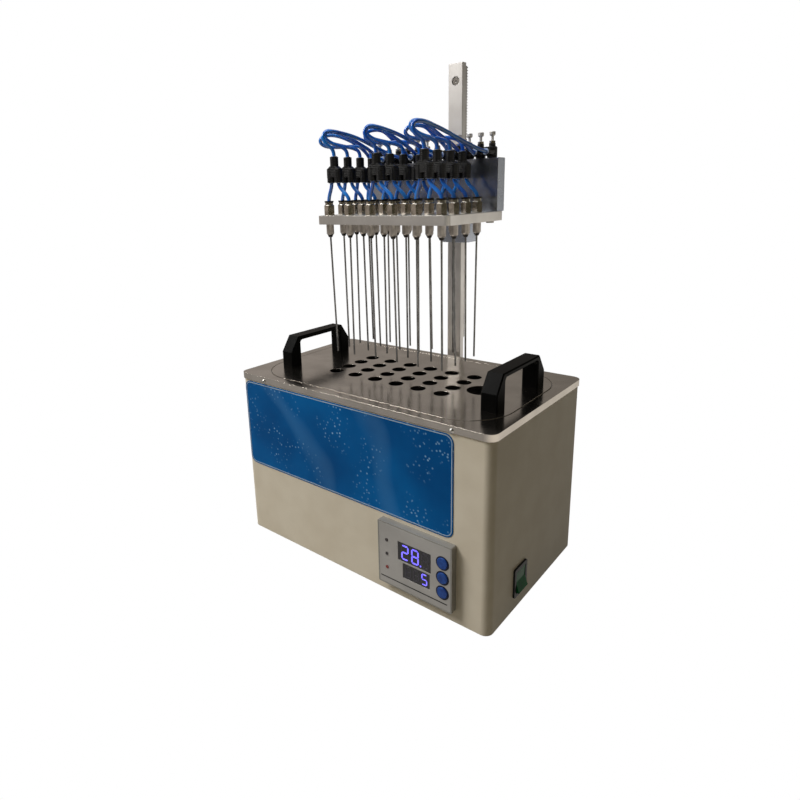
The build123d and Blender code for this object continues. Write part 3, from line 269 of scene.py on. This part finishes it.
def make_hub_steel():
    """Satin needle hubs whose tapered tips are dark."""
    tip_level = 370.5 * MM
    blur = 0.6 * MM
    material, tree, shader, coords = start("hub_steel", 0.75, 0.36)
    tone = patches(tree, coords, 200.0, srgb(176, 169, 162), srgb(204, 197, 190), low=0.35, high=0.65)
    above_tip = step_up(tree, coords, "Z", tip_level - blur, tip_level + blur)
    tree.links.new(mixed(tree, above_tip, srgb(46, 43, 40), tone), shader.inputs["Base Color"])
    relief(tree, shader, noise(tree, coords, 1500.0), 0.12)
    return material


def make_lamp_lens():
    """Clear lamp lenses: the lowest lamp is red and the two above it are dark."""
    split_level = 48.0 * MM
    material, tree, shader, coords = start("lamp_lens", 0.0, 0.15)
    red = patches(tree, coords, 700.0, srgb(120, 34, 28), srgb(168, 52, 40))
    upper = step_up(tree, coords, "Z", split_level - MM, split_level + MM)
    tree.links.new(mixed(tree, upper, red, srgb(40, 30, 32)), shader.inputs["Base Color"])
    shader.inputs["Coat Weight"].default_value = 0.6
    return material


def make_ribbed_black():
    """Moulded connectors with fine level ribs."""
    material, tree, shader, coords = start("ribbed_black", 0.0, 0.34)
    tone = patches(tree, coords, 300.0, srgb(10, 10, 11), srgb(18, 18, 20))
    tree.links.new(tone, shader.inputs["Base Color"])
    shader.inputs["Specular IOR Level"].default_value = 0.3
    relief(tree, shader, wave(tree, coords, "Z", 180.0), 0.5, depth=0.0003)
    return material


def make_label_film():
    """Deep blue film with clusters of pale specks and soft diagonal streaks."""
    material, tree, shader, coords = start("label_film", 0.0, 0.34)
    ground = patches(tree, coords, 9.0, srgb(3, 72, 136), srgb(9, 108, 182), detail=4.0)
    cells = tree.nodes.new("ShaderNodeTexVoronoi")
    cells.inputs["Scale"].default_value = 210.0
    tree.links.new(coords, cells.inputs["Vector"])
    specks = ramp(tree, cells.outputs["Distance"], (0.05, WHITE), (0.30, BLACK))
    clusters = patches(tree, coords, 24.0, BLACK, WHITE, low=0.48, high=0.66, detail=2.0)
    streaks = wave(tree, coords, "DIAGONAL", 4.5, distortion=7.0)
    faint = ramp(tree, streaks, (0.80, BLACK), (1.0, (0.22, 0.22, 0.22, 1.0)))
    streaked = mixed(tree, faint, ground, srgb(92, 150, 205))
    speckled = mixed(tree, mixed(tree, clusters, BLACK, specks), streaked, srgb(150, 200, 240))
    tree.links.new(speckled, shader.inputs["Base Color"])
    shader.inputs["Specular IOR Level"].default_value = 0.06
    relief(tree, shader, noise(tree, coords, 500.0), 0.05)
    return material


digit_lit = make_digit_lit()
hub_steel = make_hub_steel()
lamp_lens = make_lamp_lens()
ribbed_black = make_ribbed_black()
label_film = make_label_film()

# Each node's finish; the nodes that aren't named here are the twelve valve knobs
finishes = {
    "outer_case": case_paint, "base_tray": case_paint, "feet": rubber, "top_plate": polished,
    "flange_screws": screw_steel, "inner_tank": tank_steel, "heater": tank_steel,
    "temperature_probe": tank_steel, "tank_glands": nickel, "front_label": label_film,
    "controller_housing": housing_grey, "controller_face": face_silver, "display_windows": dark_glass,
    "indicator_lamps": lamp_lens, "button_down": button_blue, "button_up": button_blue,
    "button_set": button_blue, "switch_housing": black_plastic, "switch_rocker": switch_green,
    "power_inlet": black_plastic, "column_bracket": column_metal, "column": column_metal,
    "rack": rack_steel, "column_screws": screw_steel, "lid_plate": polished, "lid_handles": handle_black,
    "handle_screws": screw_steel, "shelf_rods": tank_steel, "tube_shelf": tank_steel,
    "carriage_block": manifold_metal, "head_screws": screw_steel, "head_arm": manifold_metal,
    "needle_plate": plate_metal, "manifold": manifold_metal, "gas_inlet": nickel,
    "valve_bodies": ribbed_black, "valve_nuts": nickel, "needle_fittings": nickel,
    "fitting_collars": black_plastic, "needle_hubs": hub_steel, "needles": needle_steel,
    "y_connectors": ribbed_black, "release_rings": ring_pale, "branch_tubes": tube_blue,
    "gas_tubes": tube_blue, "pinion_gear": rack_steel, "pinion_shaft": rack_steel, "lift_knob": black_plastic}
for name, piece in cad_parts.items():
    finish = finishes.get(name, knob_silver)
    if not piece.material_slots:
        piece.data.materials.append(finish)
    for slot in piece.material_slots:
        slot.material = finish


# Thin parts on the front of the case: outlines are (x, z) pairs in the CAD source's millimetres
SUNK = 0.1
FEW_STEPS = 3


def add_mesh(name, mesh, material):
    """Turns a bmesh into a piece that rides on the bath."""
    bmesh.ops.recalc_face_normals(mesh, faces=mesh.faces)
    data = bpy.data.meshes.new(name)
    mesh.to_mesh(data)
    mesh.free()
    data.materials.append(material)
    piece = bpy.data.objects.new(name, data)
    bpy.context.scene.collection.objects.link(piece)
    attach(piece, "bath")


def rounded(x0, x1, z0, z1, radius, steps=8):
    """Outline of a rectangle with rounded corners."""
    points = []
    corners = ((x1 - radius, z1 - radius), (x0 + radius, z1 - radius),
               (x0 + radius, z0 + radius), (x1 - radius, z0 + radius))
    for quarter, (x, z) in enumerate(corners):
        for i in range(steps + 1):
            angle = math.pi / 2 * (quarter + i / steps)
            points.append((x + radius * math.cos(angle), z + radius * math.sin(angle)))
    return points


def prism(mesh, outline, face, proud):
    """A flat plate that stands proud of a face and is sunk a little into it."""
    front = [mesh.verts.new(at(x, face - proud, z)) for x, z in outline]
    back = [mesh.verts.new(at(x, face + SUNK, z)) for x, z in outline]
    mesh.faces.new(front)
    mesh.faces.new(back[::-1])
    for i, (a, b) in enumerate(zip(front, back)):
        following = (i + 1) % len(front)
        mesh.faces.new((a, b, back[following], front[following]))


def band(mesh, outer, inner, face, proud):
    """A closed flat band between two outlines with as many points each, on a face as prism's plate is."""
    front = face - proud
    back = face + SUNK
    loops = []
    for outline, y in ((outer, back), (outer, front), (inner, front), (inner, back)):
        loops.append([mesh.verts.new(at(x, y, z)) for x, z in outline])
    for first, second in zip(loops, loops[1:] + loops[:1]):
        for i in range(len(outer)):
            following = (i + 1) % len(outer)
            mesh.faces.new((first[i], first[following], second[following], second[i]))


# Front label: a pale line just inside its edge
LABEL_R = 9.0
BORDER_IN = 1.2
BORDER_W = 1.0
PRINT_PROUD = 0.12
label_low, label_high = source_box("front_label")
mesh = bmesh.new()
outlines = []
for inset in (BORDER_IN, BORDER_IN + BORDER_W):
    outlines.append(rounded(label_low[0] + inset, label_high[0] - inset, label_low[2] + inset,
                            label_high[2] - inset, LABEL_R - inset))
band(mesh, outlines[0], outlines[1], label_low[1], PRINT_PROUD)
add_mesh("label_border", mesh, border_pale)

# Controller display: seven-segment digits on the windows, placed from the housing's lower left corner
SEGMENTS = {"2": "abged", "8": "abcdefg", "5": "afgcd", "-": ""}
SEGMENT_HALF = 0.055
SEGMENT_GAP = 0.35
SEGMENT_PROUD = 0.15
panel_left, panel_front, panel_low = source_box("controller_housing")[0]
window_front = source_box("display_windows")[0][1]


def bar(mesh, x0, z0, x1, z1, half):
    """One display segment: a slim hexagon between two points."""
    if abs(x1 - x0) > abs(z1 - z0):
        outline = [(x0, z0), (x0 + half, z0 + half), (x1 - half, z0 + half), (x1, z0),
                   (x1 - half, z0 - half), (x0 + half, z0 - half)]
    else:
        outline = [(x0, z0), (x0 + half, z0 + half), (x0 + half, z1 - half), (x0, z1),
                   (x0 - half, z1 - half), (x0 - half, z0 + half)]
    prism(mesh, outline, window_front, SEGMENT_PROUD)


def digit(lit, unlit, sign, x, z, wide, high):
    """Seven segments, those of the sign in the lit mesh and the others in the unlit one."""
    middle = z + high / 2
    top = z + high
    right = x + wide
    ends = {"a": (x, top, right, top), "b": (right, middle, right, top), "c": (right, z, right, middle),
            "d": (x, z, right, z), "e": (x, z, x, middle), "f": (x, middle, x, top),
            "g": (x, middle, right, middle)}
    half = high * SEGMENT_HALF
    gap = half * SEGMENT_GAP
    for key, (x0, z0, x1, z1) in ends.items():
        level = abs(x1 - x0) > abs(z1 - z0)
        step_x = gap if level else 0
        step_z = 0 if level else gap
        mesh = lit if key in SEGMENTS[sign] else unlit
        bar(mesh, x0 + step_x, z0 + step_z, x1 - step_x, z1 - step_z, half)


# The signs of each display, the first digit's left and lower end, its width and height, and the digits' pitch
UPPER = ("28-", 30.5, 37.7, 7.4, 15.0, 12.2)
LOWER = ("--5", 35.4, 18.9, 5.6, 11.2, 9.6)
DOT_LEFT = 52.1
DOT_LOW = 36.9
DOT_W = 1.8
DOT_R = 0.8
lit = bmesh.new()
unlit = bmesh.new()
for signs, left, low, wide, high, pitch in (UPPER, LOWER):
    for i, sign in enumerate(signs):
        digit(lit, unlit, sign, panel_left + left + pitch * i, panel_low + low, wide, high)
dot_x = panel_left + DOT_LEFT
dot_z = panel_low + DOT_LOW
dot = rounded(dot_x, dot_x + DOT_W, dot_z, dot_z + DOT_W, DOT_R, FEW_STEPS)
prism(lit, dot, window_front, SEGMENT_PROUD)
add_mesh("digits_lit", lit, digit_lit)
add_mesh("digits_unlit", unlit, digit_off)

# Rims round the three buttons. Each corner is a hair smaller than a full circle's, so no points coincide.
BUTTON_X = 78.6
BUTTON_Z = 19.8
BUTTON_PITCH = 16.1
RIM_RADII = (7.4, 6.25)
RIM_PROUD = 0.25
HAIR = 0.01
mesh = bmesh.new()
for i in range(3):
    x = panel_left + BUTTON_X
    z = panel_low + BUTTON_Z + BUTTON_PITCH * i
    outer, inner = (rounded(x - r, x + r, z - r, z + r, r - HAIR) for r in RIM_RADII)
    band(mesh, outer, inner, panel_front, RIM_PROUD)
add_mesh("button_rims", mesh, rim_navy)

# Dark line across the lower part of the controller's face
LINE_LEFT = 3.0
LINE_RIGHT = 84.0
LINE_LOW = 7.65
LINE_H = 1.2
LINE_R = 0.5
mesh = bmesh.new()
line = rounded(panel_left + LINE_LEFT, panel_left + LINE_RIGHT, panel_low + LINE_LOW,
               panel_low + LINE_LOW + LINE_H, LINE_R, FEW_STEPS)
prism(mesh, line, panel_front, PRINT_PROUD)
add_mesh("panel_line", mesh, line_black)

# Tubes: their ends are those of the CAD source's tubes, and come from the pieces that hold them. The points
# between are chosen after the photograph.
ROWS = 4
PAIRS = 3
TUBE_R = 2.0
RING_H = 0.7
VALVE_PORT_RISE = 6.2
GRID_X = -1.2
GRID_Y = 2.0
COLUMN_PITCH = 29.5
ROW_PITCH = 22.5
VALVE_PITCH = 13.6
BRANCH_HALF = 5.1
BRANCH_RISE = 3.5
PORT_STRAIGHT = 6.0
collar_top = source_box("fitting_collars")[1][2]
branch_top = source_box("y_connectors")[0][2] - RING_H
port_top = source_box("y_connectors")[1][2] + RING_H
port_front = source_box("valve_bodies")[0][1] - RING_H
port_z = source_box("manifold")[1][2] + VALVE_PORT_RISE

# By row from the front: how far each connector sits from the middle of its two needles, for the three pairs
CONNECTOR_SHIFTS = [[-4.5, -5.2, -5.0], [-5.0, -5.0, -5.0], [-6.0, -4.0, -4.5], [-7.8, 1.2, -3.4]]

# By row: the points of a gas tube's rise, from the connector's top port, and of its return, from the valve's
RISES = [[(0, 0, 7), (-6, -5, 12.5), (-10, -7, 20), (-7, -2, 27)],
         [(0, 0, 6), (-5, -4, 11), (-14, -11, 15), (-19, -16, 21), (-18, -13, 28), (-10, -5, 27)],
         [(0, 0, 6), (-5, -3.5, 10), (-16, -12, 13), (-27, -22, 17), (-31, -27, 23.5), (-27, -26, 30),
          (-18, -18, 28)],
         [(0, 0, 6), (-5, -3, 12.5), (-16, -10, 14), (-31, -21, 13), (-43, -32, 14), (-48, -36.5, 20),
          (-43, -34, 26.5), (-31, -24, 26.5)]]
RETURNS = [[(-23, -54, 23), (-9, -29, 9)],
           [(-11, -45, 21), (-1.5, -21, 11)],
           [(-9, -36, 19), (-1, -18, 8)],
           [(-9, -22, 19), (-1, -11, 8)]]


def column_x(column):
    """Where a column of needles stands; half a column is the middle between two."""
    return GRID_X + (column - (2 * PAIRS - 1) / 2) * COLUMN_PITCH


def branch_routes(pair, x, y):
    """From the collars of a pair of needles up into the two lower ports of their connector."""
    routes = []
    for column, head_x in ((2 * pair, x - BRANCH_HALF), (2 * pair + 1, x + BRANCH_HALF)):
        foot_x = column_x(column)
        routes.append([(foot_x, y, collar_top), (foot_x, y, collar_top + BRANCH_RISE),
                       (head_x, y, branch_top - BRANCH_RISE), (head_x, y, branch_top)])
    return routes


def gas_route(row, pair, x, y):
    """From a connector's top port to its valve, the front row's to the last valve of its group of four."""
    valve = ROWS * (pair + 1) - 1 - row
    valve_x = (valve - (ROWS * PAIRS - 1) / 2) * VALVE_PITCH
    rise = [(x + dx, y + dy, port_top + dz) for dx, dy, dz in RISES[row]]
    back = [(valve_x + dx, port_front + dy, port_z + dz) for dx, dy, dz in RETURNS[row]]
    return [(x, y, port_top), *rise, *back, (valve_x, port_front - PORT_STRAIGHT, port_z),
            (valve_x, port_front, port_z)]


def tube_curve(name, routes):
    """A round tube along each route, whose points are the control points of one NURBS spline."""
    curve = bpy.data.curves.new(name, "CURVE")
    curve.dimensions = "3D"
    curve.bevel_depth = 1.0
    curve.bevel_resolution = 5
    curve.resolution_u = 10
    for route in routes:
        spline = curve.splines.new("NURBS")
        spline.points.add(len(route) - 1)
        for point, place in zip(spline.points, route):
            point.co = (*at(*place), 1.0)
            point.radius = TUBE_R * MM
        spline.order_u = 3
        spline.use_endpoint_u = True
    piece = bpy.data.objects.new(name, curve)
    bpy.context.scene.collection.objects.link(piece)
    curve.materials.append(tube_blue)
    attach(piece, "head")
    return piece


def line_length(piece):
    """Length of a curve's own line, measured with no bevel."""
    depth = piece.data.bevel_depth
    piece.data.bevel_depth = 0.0
    graph = bpy.context.evaluated_depsgraph_get()
    line = bpy.data.meshes.new_from_object(piece.evaluated_get(graph))
    total = 0.0
    for edge in line.edges:
        first, second = (line.vertices[index].co for index in edge.vertices)
        total += (first - second).length
    bpy.data.meshes.remove(line)
    piece.data.bevel_depth = depth
    return total


branches = []
for row in range(ROWS):
    for pair in range(PAIRS):
        x = column_x(2 * pair + 0.5) + CONNECTOR_SHIFTS[row][pair]
        y = GRID_Y + (row - (ROWS - 1) / 2) * ROW_PITCH
        branches += branch_routes(pair, x, y)
        route = gas_route(row, pair, x, y)
        gas_tube = tube_curve(f"gas_tube_{row + 1}_{pair + 1}", [route])
        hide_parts("gas_tubes")
        line_length(gas_tube)
branch_piece = tube_curve("branch_tube_set", branches)
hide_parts("branch_tubes")


# Floor, surroundings and lights: white to the camera, and brighter on the left, as in the photograph
FLOOR_HALF = 4.0


def lay_floor():
    """A floor that lights and mirrors the object from below, and is white to the camera."""
    corners = [(-FLOOR_HALF, -FLOOR_HALF, 0), (FLOOR_HALF, -FLOOR_HALF, 0), (FLOOR_HALF, FLOOR_HALF, 0),
               (-FLOOR_HALF, FLOOR_HALF, 0)]
    data = bpy.data.meshes.new("floor")
    data.from_pydata(corners, [], [(0, 1, 2, 3)])
    floor = bpy.data.objects.new("floor", data)
    bpy.context.scene.collection.objects.link(floor)
    material, tree, shader, coords = start("floor_pale", 0.0, 0.6)
    rightwards = step_up(tree, coords, "X", -0.1, 0.7)
    tone = patches(tree, coords, 2.0, (0.27, 0.25, 0.20, 1.0), (0.31, 0.29, 0.24, 1.0))
    tree.links.new(mixed(tree, rightwards, tone, (0.10, 0.085, 0.055, 1.0)), shader.inputs["Base Color"])
    mirror_tone = mixed(tree, rightwards, (0.34, 0.33, 0.32, 1.0), (0.90, 0.85, 0.77, 1.0))
    mirrored = by_ray(tree, "Is Glossy Ray", shader.outputs["BSDF"], glow_of(tree, mirror_tone))
    seen = by_ray(tree, "Is Camera Ray", mirrored, glow_of(tree, WHITE))
    tree.links.new(seen, tree.nodes["Material Output"].inputs["Surface"])
    data.materials.append(material)


def surround():
    """A world that is pale on the left and dim on the right, both by height, and white to the camera."""
    world = bpy.data.worlds.new("studio")
    bpy.context.scene.world = world
    world.use_nodes = True
    tree = world.node_tree
    direction = tree.nodes.new("ShaderNodeTexCoord").outputs["Generated"]
    level = along(tree, direction, "Z")
    left_side = ramp(tree, level, (0.0, (0.36, 0.31, 0.27, 1.0)), (0.30, (0.38, 0.35, 0.33, 1.0)),
                     (0.8, (0.60, 0.61, 0.63, 1.0)))
    right_side = ramp(tree, level, (0.0, (0.045, 0.038, 0.020, 1.0)), (0.30, (0.05, 0.043, 0.026, 1.0)),
                      (0.8, (0.14, 0.135, 0.12, 1.0)))
    rightwards = step_up(tree, direction, "X", -0.85, 0.10)
    room = tree.nodes["Background"]
    tree.links.new(mixed(tree, rightwards, left_side, right_side), room.inputs["Color"])
    white = tree.nodes.new("ShaderNodeBackground")
    white.inputs["Color"].default_value = WHITE
    seen = by_ray(tree, "Is Camera Ray", room.outputs["Background"], white.outputs["Background"])
    tree.links.new(seen, tree.nodes["World Output"].inputs["Surface"])


def area_light(name, place, target, size, power, colour):
    """A square soft light at a place, turned to a target."""
    data = bpy.data.lights.new(name, "AREA")
    data.shape = "SQUARE"
    data.size = size
    data.energy = power
    data.color = colour
    light = bpy.data.objects.new(name, data)
    light.location = place
    light.rotation_euler = (Vector(target) - Vector(place)).to_track_quat("-Z", "Y").to_euler()
    bpy.context.scene.collection.objects.link(light)
    return light


lay_floor()
surround()
area_light("key", (-1.15, -1.1, 1.7), (0, 0, 0.2), size=0.9, power=31.0, colour=(1.0, 0.98, 0.94))
area_light("top", (-0.15, -0.25, 1.7), (0, 0, 0.3), size=0.8, power=4.5, colour=(1.0, 1.0, 1.0))
area_light("right_fill", (1.5, -0.6, 0.7), (0, 0, 0.3), size=0.5, power=0.35, colour=(1.0, 0.85, 0.6))

# The card is left out of diffuse light, and shows only as gloss on the right sides of bare metal
card = area_light("card", (1.3, 1.3, 0.3), (0, 0, 0.35), size=1.2, power=2.0, colour=(1.0, 0.97, 0.92))
card.visible_diffuse = False

# Camera where the photograph was taken from
AZIMUTH = math.radians(40.182)
ELEVATION = math.radians(14.689)
ROLL = math.radians(-1.774)
CAMERA_PLACE = (0.38813, -0.54474, 0.41307)
right = Vector((math.cos(AZIMUTH), math.sin(AZIMUTH), 0))
back = Vector((math.sin(AZIMUTH) * math.cos(ELEVATION), -math.cos(AZIMUTH) * math.cos(ELEVATION),
               math.sin(ELEVATION)))
up = back.cross(right)
side = right * math.cos(ROLL) + up * math.sin(ROLL)
above = up * math.cos(ROLL) - right * math.sin(ROLL)
turn = Matrix((side, above, back)).transposed()
camera_data = bpy.data.cameras.new("camera")
camera_data.sensor_width = 36.0
camera_data.lens = 26.60
camera_data.shift_x = 0.0400
camera_data.shift_y = -0.0634
camera_data.clip_start = 0.01
camera = bpy.data.objects.new("camera", camera_data)
camera.matrix_world = Matrix.Translation(CAMERA_PLACE) @ turn.to_4x4()
bpy.context.scene.collection.objects.link(camera)
bpy.context.scene.camera = camera
bpy.context.scene.view_settings.view_transform = "Standard"
